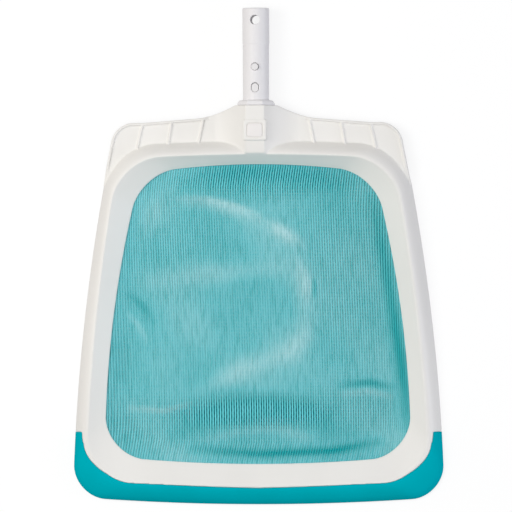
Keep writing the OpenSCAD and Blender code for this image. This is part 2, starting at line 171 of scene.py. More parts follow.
def moulded(obj, voxel, most_faces):
    """Remeshes a union of solids so that every corner gets a moulding's soft fillet."""
    remesh = obj.modifiers.new("voxels", "REMESH")
    remesh.mode = "VOXEL"
    remesh.voxel_size = voxel * MM
    remesh.use_smooth_shade = True
    soften = obj.modifiers.new("soften", "SMOOTH")
    soften.factor = SOFTENING
    soften.iterations = SOFTENING_PASSES
    applied(obj)
    if len(obj.data.polygons) * 2 > most_faces:
        thin = obj.modifiers.new("thin", "DECIMATE")
        thin.ratio = most_faces / (len(obj.data.polygons) * 2)
        applied(obj)
    obj.data.polygons.foreach_set("use_smooth", [True] * len(obj.data.polygons))
    return obj


# ---------------------------------------------------------------- curves


def mix(a, b, share):
    """The point at a share of the way from a to b."""
    return tuple(p + (q - p) * share for p, q in zip(a, b))


def clamped(value):
    """The value kept between 0 and 1."""
    return min(1.0, max(0.0, value))


def smooth_curve(table):
    """A monotone cubic through rising [(x, y)] knots, as a function."""
    xs, ys = [p[0] for p in table], [p[1] for p in table]
    rise = [(ys[k + 1] - ys[k]) / (xs[k + 1] - xs[k]) for k in range(len(xs) - 1)]
    slopes = [rise[0]]
    for left, right in zip(rise, rise[1:]):
        slopes.append(0.0 if left * right <= 0 else 2 * left * right / (left + right))
    slopes.append(rise[-1])

    def at(x):
        x = min(max(x, xs[0]), xs[-1])
        k = max(i for i in range(len(xs) - 1) if xs[i] <= x)
        wide = xs[k + 1] - xs[k]
        t = (x - xs[k]) / wide
        return ((2 * t**3 - 3 * t**2 + 1) * ys[k] + (t**3 - 2 * t**2 + t) * wide * slopes[k]
                + (3 * t**2 - 2 * t**3) * ys[k + 1] + (t**3 - t**2) * wide * slopes[k + 1])

    return at


CORNER_MOST = 0.45  # the most of an edge that one corner's rounding takes


def rounded(corners, steps=4):
    """A closed outline of (u, z, radius) corners with each corner rounded."""
    out = []
    for k, (u, z, radius) in enumerate(corners):
        if not radius:
            out.append((u, z))
            continue
        here = Vector((u, z))
        back = Vector(corners[k - 1][:2]) - here
        on = Vector(corners[(k + 1) % len(corners)][:2]) - here
        start = here + back.normalized() * min(radius, back.length * CORNER_MOST)
        end = here + on.normalized() * min(radius, on.length * CORNER_MOST)
        for i in range(steps + 1):
            t = i / steps
            out.append(tuple(start * (1 - t) ** 2 + here * 2 * t * (1 - t) + end * t**2))
    return out


# ---------------------------------------------------------------- the hoop's outlines

# half width at the heel and the mouth, y of both, corner radii of both, bows of side, heel, mouth
Ring = namedtuple("Ring", "half_top half_low y_top y_low r_top r_low bow_side bow_top bow_low")
OUTER = Ring(156.5, 199.3, 121.5, -257, 52, 31, 8.5, 5, 8)
WING = Ring(151.6, 199.3, 143, -257, 22, 30, 9.75, 0, 8)
CREST = Ring(146.37, 183.36, 104, -239, 50, 44, 7, 5, 6)
NET = Ring(124.84, 163.73, 88.5, -212.7, 43, 37, 10, 10, 9)
FINE = 4  # fine stations for each station of the CAD ring
STATIONS = {"mouth": 6 * FINE, "corner": 8 * FINE, "side": 9 * FINE, "heel": 6 * FINE}


def plain_half(ring, y):
    """Half width of the straight-sided outline at y."""
    return ring.half_top + (ring.half_low - ring.half_top) * (ring.y_top - y) / (ring.y_top - ring.y_low)


def bowed(ring, x, y):
    """A point of the straight-sided outline, bowed outwards."""
    t = (y - (ring.y_top + ring.y_low) / 2) / ((ring.y_top - ring.y_low) / 2)
    s = x / plain_half(ring, y)
    bow = ring.bow_top if t > 0 else ring.bow_low
    return (x + s * ring.bow_side * (1 - t * t), y + t * bow * (1 - s * s))


def half_ring(ring):
    """Right half of a ring, from the mouth's middle round to the heel's middle."""
    lean = math.atan((ring.half_low - ring.half_top) / (ring.y_top - ring.y_low))
    x_top = plain_half(ring, ring.y_top - ring.r_top) - ring.r_top / math.cos(lean)
    x_low = plain_half(ring, ring.y_low + ring.r_low) - ring.r_low / math.cos(lean)

    def arc(x, y, radius, start, end):
        steps = STATIONS["corner"]
        turn = [start + (end - start) * k / steps for k in range(steps + 1)]
        return [(x + radius * math.cos(a), y + radius * math.sin(a)) for a in turn]

    low = arc(x_low, ring.y_low + ring.r_low, ring.r_low, -math.pi / 2, lean)
    top = arc(x_top, ring.y_top - ring.r_top, ring.r_top, lean, math.pi / 2)
    mouth, side, heel = (STATIONS[k] for k in ("mouth", "side", "heel"))
    path = [(x_low * k / mouth, ring.y_low) for k in range(mouth)] + low
    path += [mix(low[-1], top[0], k / side) for k in range(1, side)] + top
    path += [(x_top * (1 - k / heel), ring.y_top) for k in range(1, heel + 1)]
    return [bowed(ring, x, y) for x, y in path]


def whole_ring(ring):
    """A closed outline, anticlockwise from the mouth's middle."""
    half = half_ring(ring)
    return half + [(-x, y) for x, y in half[-2:0:-1]]


outer_line, crest_line, net_line = whole_ring(OUTER), whole_ring(CREST), whole_ring(NET)

# ---------------------------------------------------------------- the hoop's section

CREST_HEEL_Z = 29.0
CREST_MOUTH_Z = 17.0
RIM_H = 3.0
WALL = 2.6
FLANGE = 5.5
EDGE_LOW_Z = 7.2
EDGE_TOP_Z = 9.4
HORN_Y = -187.5
LIP_T = 2.6
SEAT_GAP = 0.3
LIP_SEAT_IN = 38.0  # how far above the horns' ends the slope starts to set in for the lip
LIP_SEAT_RAMP = 60.0  # over how long a way it sets in
SEAT_FOOT_W = 7.2  # how much wider the foot of the slope is where the lip is whole
SLOPE_WALL = 1.3 * WALL  # the walls measured upright, so thicker on a slope
BAND_WALL = 1.25 * WALL
FOOT_R, SHOULDER_R, FLANGE_R, CREST_BACK_R, FOOT_BACK_R = 0.6, 0.9, 0.5, 1.5, 1.0  # corner radii
SKIN_STEPS = 14  # points on the outer slope, and on the inner band
BAND_BACK = (0.5, 0.34, 0.18)  # shares of the band and the slope where their backs have a point
SLOPE_BACK = (0.82, 0.66)
# the outer slope's rise against the way from the rim to the crest, both as shares
slope_share = smooth_curve([(0, 0), (0.12, 0.27), (0.3, 0.53), (0.62, 0.85), (0.85, 0.975), (1, 1)])


def crest_z(y):
    """Height of the crest, which falls in a straight line from the heel to the mouth."""
    return CREST_MOUTH_Z + (CREST_HEEL_Z - CREST_MOUTH_Z) * (y - CREST.y_low) / (CREST.y_top - CREST.y_low)


def slope_z(top, share):
    """Height of the outer slope, from the rim at 0 to the crest at 1."""
    return RIM_H + (top - RIM_H) * slope_share(share)


def band_z(top, share):
    """Height of the inner band, which falls in a straight line from the crest."""
    return top - (top - EDGE_TOP_Z) * share


def lip_share(y):
    """How far the slope is set in for the lip: none on the sides, whole at the mouth."""
    return clamped((HORN_Y + LIP_SEAT_IN - y) / LIP_SEAT_RAMP)


def hoop_section(a, b, c):
    """Section of the hoop from outer point a over crest point b to net point c."""
    top = crest_z(b[1])
    outer, inner = math.dist(a, b), math.dist(b, c)
    foot = WALL + SEAT_FOOT_W * lip_share(a[1])
    drop = SLOPE_WALL + (LIP_T + SEAT_GAP) * lip_share(a[1])
    steps = SKIN_STEPS
    corners = [(0, 0, FOOT_R), (0, RIM_H, SHOULDER_R)]
    corners += [(outer * k / steps, slope_z(top, k / steps), 0) for k in range(1, steps + 1)]
    corners += [(outer + inner * k / steps, band_z(top, k / steps), 0) for k in range(1, steps)]
    corners += [(outer + inner, EDGE_TOP_Z, SHOULDER_R), (outer + inner, EDGE_LOW_Z, FLANGE_R)]
    corners += [(outer + inner - FLANGE, EDGE_LOW_Z, FLANGE_R)]
    corners += [(outer + inner * s, band_z(top, s) - BAND_WALL, 0) for s in BAND_BACK]
    corners += [(outer, top - WALL - LIP_T * lip_share(a[1]), CREST_BACK_R)]
    corners += [(outer * s, slope_z(top, s) - drop, 0) for s in SLOPE_BACK]
    corners += [(foot, slope_z(top, foot / outer) - drop - WALL, FOOT_BACK_R), (foot, 0, FOOT_R)]
    section = []
    for u, z in rounded(corners):
        x, y = mix(a, b, u / outer) if u <= outer else mix(b, c, (u - outer) / inner)
        section.append((x, y, z))
    return section


def hoop():
    """The hoop's open-backed skin, lofted round its three outlines."""
    return loft("hoop", [hoop_section(*abc) for abc in zip(outer_line, crest_line, net_line)], True)


# stations of the CAD ring, from the mouth's middle, that have a rib behind them
RIB_STATIONS = (2, 9, 15, 18, 21, 25, 31)
RIB_T = 2.0
RIB_LOW_Z = 1.0
RIB_SINK = 0.5  # how far a rib reaches into the walls that it meets
RIB_BAND_SHARE, RIB_SLOPE_SHARE = 0.42, 0.66  # where it has a corner behind the band and the slope


def towards(a, b, reach):
    """The point that lies reach from a on the way to b."""
    return mix(a, b, reach / math.dist(a, b))


def channel_rib(station, side):
    """A cross rib in the open channel behind the hoop."""
    k = station * FINE
    a, b, c = ((side * p[k][0], p[k][1]) for p in (outer_line, crest_line, net_line))
    top, y = crest_z(b[1]), a[1]
    along = Vector(b) - Vector(a)
    across = Vector((-along.y, along.x)).normalized() * RIB_T / 2
    drop = WALL + (LIP_T + SEAT_GAP) * lip_share(y)
    foot = towards(a, b, WALL + SEAT_FOOT_W * lip_share(y) - 2 * RIB_SINK)
    flange = towards(c, b, FLANGE + SEAT_GAP)
    band, slope = mix(b, c, RIB_BAND_SHARE), mix(a, b, RIB_SLOPE_SHARE)
    shape = [(foot, RIB_LOW_Z), (flange, RIB_LOW_Z), (flange, EDGE_LOW_Z + RIB_SINK),
             (band, band_z(top, RIB_BAND_SHARE) - WALL), (b, top - WALL + RIB_SINK),
             (slope, slope_z(top, RIB_SLOPE_SHARE) - drop), (foot, RIM_H)]
    return loft("rib", [[(p[0] + s * across.x, p[1] + s * across.y, z) for p, z in shape] for s in (-1, 1)])


# ---------------------------------------------------------------- wings and neck

WING_Z = 16.0
PLATE_T = 2.5
POCKET = 2.5
PLATE_Z = WING_Z - POCKET - PLATE_T
RIM_LOW_Z = 6.0
WING_RIM_W = 2.6
WING_RIB_W = 2.0
WING_RIB_LOW_Z = PLATE_Z - 3
WING_LOW_Y = 72.0
TAIL = ((44, 0), (128, 24), (44, 24))  # (y, z) of what is cut above the rim's tapered end
WING_ROOT = 0.27  # the share of the hoop's slope that the wings start from
# (x, z) between which the rim sinks into the neck's flank
NECK_FADE = ((51.0, WING_Z - POCKET), (57.0, WING_Z + 0.2))
FADE_FROM_Y = 100.0
CUT_LOW, CUT_HIGH = -5.0, 60.0  # heights that the upright cutters reach
CUT_FAR = 300.0  # past the whole head in x or y
COLLAR_Y = 166.5
COLLAR_T = 5.3
NECK_END_Y = COLLAR_Y - COLLAR_T
NECK_HALF_W = 22.5
RIM_END = (NECK_HALF_W - 6, NECK_END_Y - 3)  # where the rim's inner line ends, short of the collar
FLARE_BEND = ((62, 147.6), (45.5, 149.6), (NECK_HALF_W, NECK_END_Y))
FLARE_X = 120.0
FLARE_STEPS = 24
WING_SPARE = 6.0  # what is drawn below the wings' lower end and then cut off
# wing ribs as (x at the top edge, y there, x at the hoop, y there)
WING_RIBS = ((57, 145, 62, 121), (91, 143.3, 95, 119), (122, 141.6, 128, 116))


def bezier(p, q, r, steps):
    """A curve from p to r that is drawn towards q."""
    turn = [k / steps for k in range(steps + 1)]
    return [mix(mix(p, q, t), mix(q, r, t), t) for t in turn]


def wing_half():
    """Right half of the plan outline, from the side up round the corner to the collar."""
    side = [p for p in half_ring(WING) if p[1] > WING_LOW_Y - WING_SPARE and p[0] > FLARE_X]
    return side + bezier(*FLARE_BEND, FLARE_STEPS)


def inset(path, depth):
    """An open path moved to its left by depth."""
    out = []
    for k, p in enumerate(path):
        a, b = path[max(0, k - 1)], path[min(len(path) - 1, k + 1)]
        along = Vector((b[0] - a[0], b[1] - a[1])).normalized()
        out.append((p[0] - along.y * depth, p[1] + along.x * depth))
    return out


def mirrored_outline(half):
    """A closed outline from its right half."""
    return half + [(-x, y) for x, y in reversed(half)]


def wing_rim(edge):
    """The raised rim round the wings, which sinks into the neck's flanks."""
    inner = mirrored_outline(inset(wing_half(), WING_RIM_W) + [RIM_END])
    rim = cut(prism("rim", edge, RIM_LOW_Z, WING_Z), prism("in", inner, CUT_LOW, CUT_HIGH))
    half = [*NECK_FADE, (NECK_FADE[1][0], CUT_HIGH)]
    faded = [(-x, z) for x, z in reversed(half)] + half
    return cut(rim, loft("faded", [[(x, y, z) for x, z in faded] for y in (FADE_FROM_Y, CUT_FAR)]))


def wings():
    """Both wings as one plate with its rim and ribs, cut to the hoop's slope."""
    edge = mirrored_outline(wing_half())
    plate = prism("plate", edge, PLATE_Z, PLATE_Z + PLATE_T)
    above = loft("above", [[(x, y, z) for y, z in TAIL] for x in (-CUT_FAR, CUT_FAR)])
    cut(joined(plate, wing_rim(edge)), above)
    joined(plate, *[wing_rib(side, *rib) for side in (-1, 1) for rib in WING_RIBS])
    behind = [mix(a, b, WING_ROOT) for a, b in zip(outer_line, crest_line)]
    below = box_mm("below", (-CUT_FAR, -CUT_FAR, CUT_LOW), (CUT_FAR, WING_LOW_Y, CUT_HIGH))
    return cut(plate, prism("behind", behind, CUT_LOW, CUT_HIGH), below)


def wing_rib(side, x_top, y_top, x_low, y_low):
    """A rib across a wing, on the side given by -1 or 1."""
    along = Vector((x_top - x_low, y_top - y_low)).normalized() * WING_RIB_W / 2
    across = Vector((-along.y, along.x))
    ends = [(x_low - across.x, y_low - across.y), (x_low + across.x, y_low + across.y),
            (x_top + across.x, y_top + across.y), (x_top - across.x, y_top - across.y)]
    return prism("wing_rib", [(side * x, y) for x, y in ends], WING_RIB_LOW_Z, WING_Z)


RIDGE_Z = 37.5
FACET_HALF_W = 10.0
FLANK_W = 39.0
FLANK_POWER = 2.1
FLANK_LOW_Z = WING_Z - POCKET - 0.2
FLANK_STEPS = 24
FLANK_CROWDING = 1.3  # above 1, the points of a flank lie closer beside the facet
NECK_LOW_Z = 1.5
KEEL = ((20.0, 5.0), (16.0, NECK_LOW_Z))  # (x, z) of the neck's lower corners
KEEL_CUT_Z = -1.0  # how low the hollow runs, to be open below
FACET_SETBACK = 0.3  # how much of the skin's thickness the hollow's facet is narrower by
NECK_FROM_Y, NECK_TO_Y = 107.5, 163.0
NECK_ROW = 1.5
HOLLOW_FROM_Y, HOLLOW_TO_Y, HOLLOW_SHIFT = 112.0, 142.0, 3.0
ridge_drop = smooth_curve([(NECK_FROM_Y, -13), (110.3, -6.2), (113, -5.4), (120, -3.6), (129, -1.6),
                           (141, -0.6), (NECK_TO_Y, 0)])


def neck_section(y, depth=0.0, shift=0.0):
    """Section across the neck at y. depth sets the skin in for the hollow."""
    top = RIDGE_Z + ridge_drop(y)
    half = []
    for k in range(FLANK_STEPS + 1):
        t = (k / FLANK_STEPS) ** FLANK_CROWDING
        fall = FLANK_LOW_Z + (top - FLANK_LOW_Z) * (1 - t) ** FLANK_POWER
        half.append((FACET_HALF_W + FLANK_W * t - depth * FACET_SETBACK, fall - depth))
    (x_side, z_side), (x_low, z_low) = KEEL
    reach = FACET_HALF_W + FLANK_W
    half += [(reach - depth, PLATE_Z - depth), (x_side - depth, z_side)]
    half += [(x_low - depth, KEEL_CUT_Z if depth else z_low)]
    return [(x, y + shift, z) for x, z in mirrored_outline(half)]


def neck_body(depth, y_from, y_to, shift=0.0):
    """The neck between two stations along Y, or its hollow where depth is above 0."""
    rows = max(2, round((y_to - y_from) / NECK_ROW))
    stations = [y_from + (y_to - y_from) * k / rows for k in range(rows + 1)]
    return loft("neck", [neck_section(y, depth, shift) for y in stations])


BOSS_W, BOSS_LEN, BOSS_R, BOSS_Y, BOSS_Z = 25.0, 21.6, 1.6, 134.6, 37.6
BADGE_W, BADGE_LEN, BADGE_R, BADGE_T = 16.0, 14.5, 2.6, 1.6
AXIS_Z = 19.0
TUBE_R = 14.0
SOCKET_R = TUBE_R + SEAT_GAP
SOCKET_WALL = 3.0
SOCKET_END_Y = 128.0
BORE_PAST = 5.0  # how far the socket's bore runs out of the neck
NECK_RIBS_Y = (124.0, 143.0)
NECK_RIB_T = 2.4
NECK_RIB_HALF_W = 40.0
NECK_RIB_LOW_Z = -2.0
NECK_SIDE_X, NECK_SIDE_Y = 140.0, 60.0  # where the neck's outline starts, well past the neck
NECK_SIDE_IN, NECK_END_IN = 10.0, 3.0  # how far the hollow's outline is set in at both its ends
BOSS_LOW_Z = 30.0


def rounded_rect(w, length, radius, y, steps=8):
    """A rectangle about (0, y) with rounded corners."""
    out = []
    for k, (sx, sy) in enumerate(((1, 1), (-1, 1), (-1, -1), (1, -1))):
        for i in range(steps + 1):
            a = math.pi / 2 * (k + i / steps)
            out.append((sx * (w / 2 - radius) + radius * math.cos(a),
                        y + sy * (length / 2 - radius) + radius * math.sin(a)))
    return out


def neck_clip(depth=0.0):
    """What the neck keeps inside, set in by depth for its hollow."""
    half = wing_half()
    if depth:
        end_y = NECK_END_Y - depth
        half = [p for p in inset(half, depth) if p[1] < end_y] + [(NECK_HALF_W - NECK_END_IN, end_y)]
    start = (NECK_SIDE_X - (NECK_SIDE_IN if depth else 0), NECK_SIDE_Y)
    return prism("clip", mirrored_outline([start] + half), CUT_LOW, CUT_HIGH)


def neck_inside():
    """The cross ribs and the tube's socket in the hollow neck."""
    inside, *ribs = [box_mm("rib", (-NECK_RIB_HALF_W, y, NECK_RIB_LOW_Z),
                            (NECK_RIB_HALF_W, y + NECK_RIB_T, CUT_HIGH)) for y in NECK_RIBS_Y]
    socket = rod_y("socket", [(SOCKET_END_Y - SOCKET_WALL, SOCKET_R + SOCKET_WALL),
                              (NECK_END_Y, SOCKET_R + SOCKET_WALL)], AXIS_Z)
    clipped(joined(inside, *ribs, socket), neck_body(0, NECK_FROM_Y, NECK_TO_Y))
    return clipped(inside, neck_clip())


def neck_hollow():
    """What is taken out from under the neck's skin."""
    near = neck_body(WALL, HOLLOW_FROM_Y, HOLLOW_TO_Y)
    far = neck_body(WALL, HOLLOW_FROM_Y, HOLLOW_TO_Y, HOLLOW_SHIFT)
    return clipped(joined(near, far), neck_clip(WALL))


def frame_body():
    """The hoop, wings and neck as one moulding, with the seats of the lip, tube and badge."""
    body = joined(hoop(), *[channel_rib(k, side) for k in RIB_STATIONS for side in (-1, 1)])
    skin = clipped(neck_body(0, NECK_FROM_Y, NECK_TO_Y), neck_clip())
    joined(body, wings(), skin)
    cut(body, neck_hollow())
    boss = prism("boss", rounded_rect(BOSS_W, BOSS_LEN, BOSS_R, BOSS_Y), BOSS_LOW_Z, BOSS_Z)
    joined(body, neck_inside(), boss)
    recess = rounded_rect(BADGE_W + 2 * SEAT_GAP, BADGE_LEN + 2 * SEAT_GAP, BADGE_R, BOSS_Y)
    bore = rod_y("bore", [(SOCKET_END_Y - SEAT_GAP, SOCKET_R), (NECK_END_Y + BORE_PAST, SOCKET_R)], AXIS_Z)
    cut(body, lip_body("lip_seat", SEAT_GAP), bore, prism("recess", recess, BOSS_Z - BADGE_T, CUT_HIGH))
    return body


# ---------------------------------------------------------------- lip

HORN_SHARE, MOUTH_SHARE, BLADE_SHARE, BLADE_LOW_Z = 0.55, 0.875, 0.4, 0.4
# how much more of the slope the lip covers at the corners, and where that is whole
CORNER_SHARE, CORNER_X = 0.1, 130.0
HORN_LEN, HORN_CURVE = 65.0, 1.6  # how the horns narrow towards their ends
HORN_STEPS = 12
LIP_STEPS = 10
LIP_R, LIP_SHOULDER_R, LIP_EDGE_R = 0.5, 1.0, 0.8  # corner radii
LIP_FOOT_DROP = 1.0
SEAT_LIFT, SEAT_OUT, SEAT_LOW_Z = 4.0, 2.0, -1.0  # how far the seat's cutter runs over and past the lip


def lip_cover(x, y):
    """The share of the slope that the lip covers at an outer point."""
    mouth = MOUTH_SHARE + CORNER_SHARE * clamped(abs(x) / CORNER_X)
    return HORN_SHARE + (mouth - HORN_SHARE) * clamped((HORN_Y - y) / HORN_LEN) ** HORN_CURVE


def side_point(ring, y):
    """The ring's point on its right side at y."""
    t = (2 * y - ring.y_top - ring.y_low) / (ring.y_top - ring.y_low)
    return (plain_half(ring, y) + ring.bow_side * (1 - t * t), y)


def lip_section(a, b, grow):
    """Section of the lip over the outer slope. grow is the clearance of its seat."""
    top, outer = crest_z(b[1]), math.dist(a, b)
    share = lip_cover(*a)
    seat = grow > 0
    lift, out, low = (SEAT_LIFT, SEAT_OUT, SEAT_LOW_Z) if seat else (0, 0, BLADE_LOW_Z)
    foot, full, under = BLADE_SHARE * share + grow / outer, share + grow / outer, LIP_T + grow
    middle = (BLADE_SHARE * share + share) / 2
    corners = [(outer * full, slope_z(top, full) + lift, LIP_R)]
    corners += [(outer * full * k / LIP_STEPS, slope_z(top, full * k / LIP_STEPS) + lift, 0)
                for k in range(LIP_STEPS - 1, 0, -1)]
    corners += [(-out, RIM_H + lift, LIP_SHOULDER_R), (-out, low, LIP_EDGE_R), (outer * foot, low, LIP_R)]
    corners += [(outer * foot, slope_z(top, foot) - under - LIP_FOOT_DROP, 0)]
    corners += [(outer * middle, slope_z(top, middle) - under, 0)]
    corners += [(outer * full, slope_z(top, full) - under, LIP_R)]
    path = [(u, z) for u, z, _ in corners] if seat else rounded(corners)
    return [(*mix(a, b, u / outer), z) for u, z in path]


def lip_body(name, grow=0.0):
    """The soft lip, from the left horn round the mouth to the right horn."""
    last = STATIONS["mouth"] + STATIONS["corner"]
    half = [lip_section(outer_line[k], crest_line[k], grow) for k in range(last + 1)]
    a_y, b_y = outer_line[last][1], crest_line[last][1]
    end_y = HORN_Y + grow
    for k in range(1, HORN_STEPS + 1):
        t = k / HORN_STEPS
        half.append(lip_section(side_point(OUTER, a_y + (end_y - a_y) * t),
                                side_point(CREST, b_y + (end_y - b_y) * t), grow))
    mirrored = [[(-x, y, z) for x, y, z in section] for section in half[:0:-1]]
    return loft(name, mirrored + half)


# ---------------------------------------------------------------- tube and clip

TUBE_ID = 23.0
TUBE_END_Y = 265.0
NOSE_Y = 227.0
NOSE_R = 14.3
BULKHEAD_Y, BULKHEAD_T = 151.0, 3.0
CROSS_Y, CROSS_R = 252.3, 5.0
LOCK_Y, LOCK_W = 202.4, 7.2
LUG_Y, LUG_W, LUG_LEN = 180.2, 7.2, 9.3
BUTTON_GAP = 0.5
END_CHAMFER, NOSE_CHAMFER = 0.6, 0.8
NOSE_STEP = 0.3  # half the length over which the nose widens
END_SPARE = 1.0  # how far a bore's cutter runs out of the tube
ACROSS = 30.0  # how far a cutter through the tube reaches from its axis
HOLE_SIDES = 48
# collar as (distance from the neck, half width, half height)
COLLAR_SHAPE = ((0.15, 20, 18.5), (3.4, 18.6, 18.2), (4.7, 17.4, 17.8), (5.3, 16.4, 17.0))
FACET_SHARE = 0.43
OCTAGON = ((1, FACET_SHARE), (FACET_SHARE, 1), (-FACET_SHARE, 1), (-1, FACET_SHARE),
           (-1, -FACET_SHARE), (-FACET_SHARE, -1), (FACET_SHARE, -1), (1, -FACET_SHARE))


def button_cutter(y, width, length):
    """What cuts a round or an oval button hole through the tube, front and back."""
    radius = width / 2 + BUTTON_GAP
    offset = (length - width) / 2
    ends = []
    for k in range(HOLE_SIDES):
        a = math.tau * k / HOLE_SIDES
        shift = offset if math.sin(a) >= 0 else -offset
        ends.append((radius * math.cos(a), y + shift + radius * math.sin(a)))
    return prism("hole", ends, AXIS_Z - ACROSS, AXIS_Z + ACROSS)


def collar():
    """Eight-sided collar that narrows towards the pole."""
    rings = []
    for reach, wide, high in COLLAR_SHAPE:
        rings.append([(wide * x, NECK_END_Y + reach, AXIS_Z + high * z) for x, z in OCTAGON])
    return loft("collar", rings)


def tube_body():
    """The tube with its wider nose, its bulkhead, its holes and the collar."""
    outside = [(SOCKET_END_Y, TUBE_R - END_CHAMFER), (SOCKET_END_Y + END_CHAMFER, TUBE_R),
               (NOSE_Y - NOSE_STEP, TUBE_R), (NOSE_Y + NOSE_STEP, NOSE_R),
               (TUBE_END_Y - NOSE_CHAMFER, NOSE_R), (TUBE_END_Y, NOSE_R - NOSE_CHAMFER)]
    body = joined(rod_y("tube", outside, AXIS_Z), collar())
    bore_r = TUBE_ID / 2
    mouth = [(TUBE_END_Y - END_CHAMFER, bore_r), (TUBE_END_Y + END_SPARE, bore_r + END_CHAMFER + END_SPARE)]
    front = rod_y("bore", [(BULKHEAD_Y, bore_r), *mouth], AXIS_Z)
    back = rod_y("back", [(SOCKET_END_Y - END_SPARE, bore_r), (BULKHEAD_Y - BULKHEAD_T, bore_r)], AXIS_Z)
    cross = rod_z("cross", 0, CROSS_Y, CROSS_R, AXIS_Z - ACROSS, AXIS_Z + ACROSS)
    cut(body, front, back, cross)
    return cut(body, button_cutter(LOCK_Y, LOCK_W, LOCK_W), button_cutter(LUG_Y, LUG_W, LUG_LEN))


# ---------------------------------------------------------------- net

RING_H = 6.0
RING_GAP = 0.4  # how far the ring stays back from the hoop's inner edge
RING_FOOT_R, RING_TOP_R = 0.6, 0.4
NET_Z = 6.6
WALE_PITCH = 2.667
WALE_STEP = 3.4  # along a rib
SHORTEST_WALE = 4 * WALE_STEP
WALE_HALF_W, WALE_HALF_H, WALE_SIDES = 0.84, 0.45, 6
STITCH = 0.09  # how far a rib zigzags from step to step
COURSE_PITCH = 1.5
SHORTEST_COURSE = 20.0
COURSE_HALF_W, COURSE_SIDES = 0.71, 4
COURSE_FLAT = 0.45  # its height beside its width
COURSE_ZIGZAG, COURSE_SINK = 0.25, 0.05
TONE_THINS = 0.1  # how much thinner a strand is drawn where the light painted on its colour is 1
NET_HELD = 4.4  # how far the net runs out under the flange
SAG = 3.2
NET_LOW_Z = 1.2  # the net never hangs lower
EDGE_POWER, EDGE_RAMP = 6, 7.0  # shape of the held edge, and how fast the net sags inside it
# the waves lift the net and paint light and shade on its colour, lighter where they rise
WAVE_LIFT, WAVE_PAINTED_LIGHT = 0.4, 0.16
DRIFT, DRIFT_Y, DRIFT_LEN = 5.0, -20.0, 110.0

# Folds of the slack net: path of (x, y), half width, lift of the net, the light painted on its colour (a
# painted highlight above 0 where the fold catches the light, painted shade below 0 where the net dips), and
# how wide its side left of the path is beside the right.
Fold = namedtuple("Fold", "path half_w lift tone crisp", defaults=(1.0,))
FOLDS = (
    Fold(((-80, 63), (-52, 61), (-24, 54), (2, 43)), 9, 1.7, 0.72, 0.4),
    Fold(((14, 35), (28, 27), (46, 15)), 9, 1.6, 0.75, 0.6),
    Fold(((46, -6), (53, -30), (52, -50)), 10, 1.5, 0.65, 0.6),
    Fold(((54, -60), (49, -86), (36, -101), (14, -110)), 11, 1.4, 0.5),
    Fold(((8, -112), (-14, -120), (-34, -130), (-58, -143)), 12, 1.4, 0.5),
    Fold(((-72, -158), (-100, -165), (-138, -162)), 3, 0.8, 0.55),
    Fold(((-122, -26), (-70, -20), (-20, -15), (26, -14)), 12, 1.2, 0.36),
    Fold(((-84, -186), (-56, -173), (-24, -165), (14, -159), (50, -167), (78, -185)), 12, -1.4, -0.75),
    Fold(((-60, -196), (-20, -186), (20, -182), (56, -194)), 7, 0.8, 0.35),
    Fold(((90, -138), (118, -135), (144, -140)), 4, -0.8, -0.8),
    Fold(((90, -148), (118, -144), (142, -150)), 4, 0.6, 0.35),
    Fold(((-70, 82), (-10, 88), (40, 86), (92, 78)), 12, -0.7, -0.7, 1.4),
    Fold(((124, 62), (135, 0), (147, -70), (157, -140), (161, -180)), 7, -0.8, -0.9),
    Fold(((-70, -206), (0, -211), (80, -208), (130, -198)), 5, -0.5, -0.9),
    Fold(((-128, 16), (-114, 46), (-100, 62)), 14, 0.4, 0.3),
    Fold(((61, -26), (61, -44)), 1.8, -0.5, -0.8),
    Fold(((88, 56), (94, -60), (104, -150)), 34, 0.3, 0.2),
    Fold(((-140, -40), (-124, -52), (-112, -70)), 4, -0.6, -0.4),
    Fold(((-142, -58), (-128, -74), (-120, -90)), 4, 0.6, 0.3),
)
# Patches where the ribs stand out, in painted light on the wales and painted shade between them:
# centre, half width and length, strength
Patch = namedtuple("Patch", "x y half_w half_l depth")
RIB_SHADING_PATCHES = (
    Patch(10, 80, 100, 16, 0.6), Patch(0, -168, 90, 16, 1.0), Patch(100, 0, 52, 100, 0.4),
    Patch(-90, 30, 48, 70, 0.3), Patch(-40, -178, 110, 24, 0.4), Patch(100, -165, 45, 24, 0.5),
)
PATCH_REACH = 1.6  # in half sizes of a patch, where its ribs end; they fade over the last whole one
FOLD_REACH = 2.5  # in half widths of a fold
FOLD_END = 0.35  # what is left of a fold at both its ends


def rib_shading(x, y):
    """How strongly light is painted on the ribs and shade between them at a point, from 0 to 1."""
    deepest = 0.0
    for patch in RIB_SHADING_PATCHES:
        far = math.hypot((x - patch.x) / patch.half_w, (y - patch.y) / patch.half_l)
        deepest = max(deepest, patch.depth * clamped(PATCH_REACH - far))
    return deepest


def fold_distance(fold, x, y):
    """Distance to the fold's path in half widths, with the share along it that is nearest."""
    best, where, count = 1e9, 0.0, len(fold.path) - 1
    for k in range(count):
        (ax, ay), (bx, by) = fold.path[k], fold.path[k + 1]
        dx, dy = bx - ax, by - ay
        t = clamped(((x - ax) * dx + (y - ay) * dy) / (dx * dx + dy * dy))
        left_side = dx * (y - ay) > dy * (x - ax)
        wide = fold.half_w * (fold.crisp if left_side else 1.0)
        far = math.hypot(x - ax - dx * t, y - ay - dy * t) / wide
        if far < best:
            best, where = far, (k + t) / count
    return best, where


def fold_weight(fold, x, y):
    """How much of a fold's lift and tone there is at a point."""
    far, where = fold_distance(fold, x, y)
    if far > FOLD_REACH:
        return 0.0
    ends = FOLD_END + (1 - FOLD_END) * math.sin(math.pi * where)
    return ends * math.exp(-(far**2))


